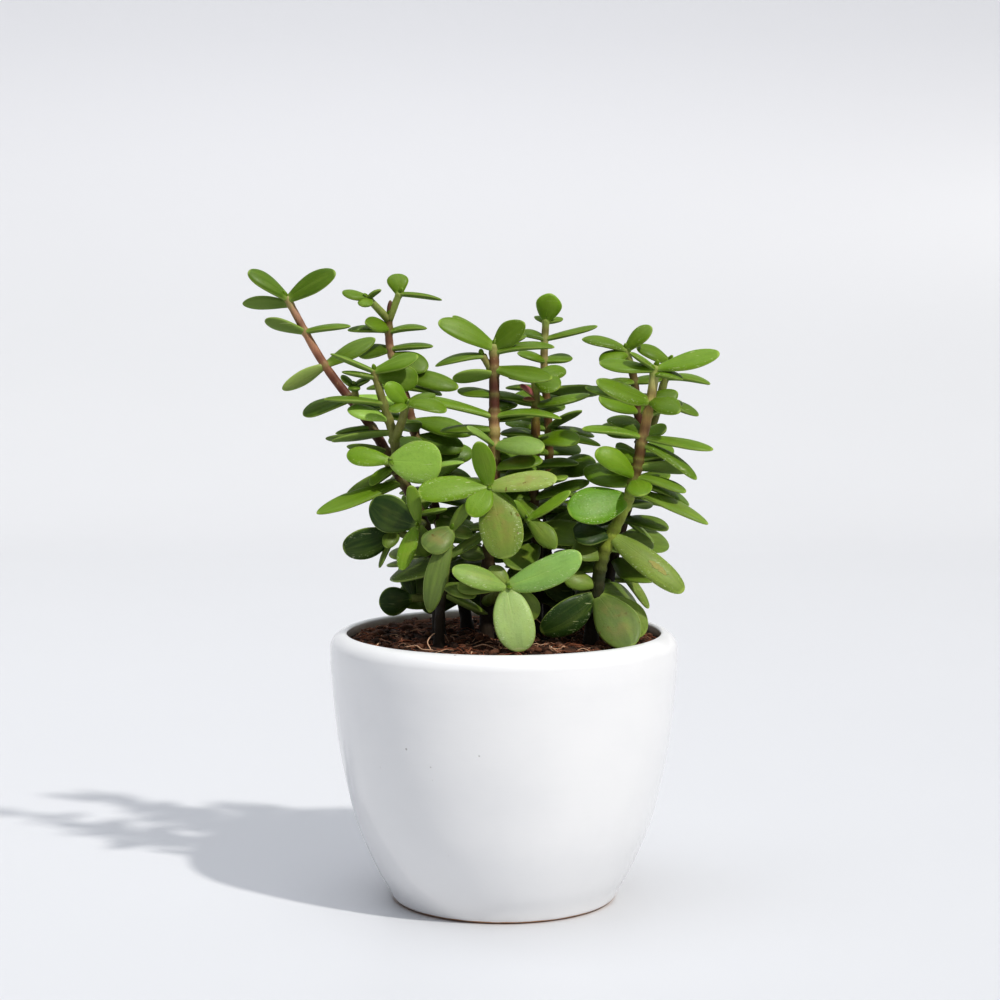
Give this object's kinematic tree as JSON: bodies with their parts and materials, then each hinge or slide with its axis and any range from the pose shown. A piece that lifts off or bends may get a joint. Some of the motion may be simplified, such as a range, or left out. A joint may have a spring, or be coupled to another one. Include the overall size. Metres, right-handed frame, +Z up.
{
  "type": "potted jade plant",
  "caption": "Small-leaved jade plant: leafy succulent stems with crossed pairs of oval leaves, standing in soil in a round white glazed pot",
  "frame": {"origin": "middle of the pot's flat underside", "axes": "+Z up along the pot's axis, +X right and -Y to the front as the plant is seen"},
  "size_m": [0.1488, 0.1104, 0.2004],
  "materials": {
    "glaze": "glossy white glaze",
    "soil": "loose coco and peat fibre",
    "leaf": "waxy green leaf"
  },
  "bodies": {
    "root": {"pot": "glaze", "soil": "soil", "left_stem": "leaf", "front_left_stem": "leaf", "back_left_stem": "leaf", "middle_stem": "leaf", "centre_stem": "leaf", "back_stem": "leaf", "right_stem": "leaf", "far_right_stem": "leaf"}
  },
  "joints": []
}
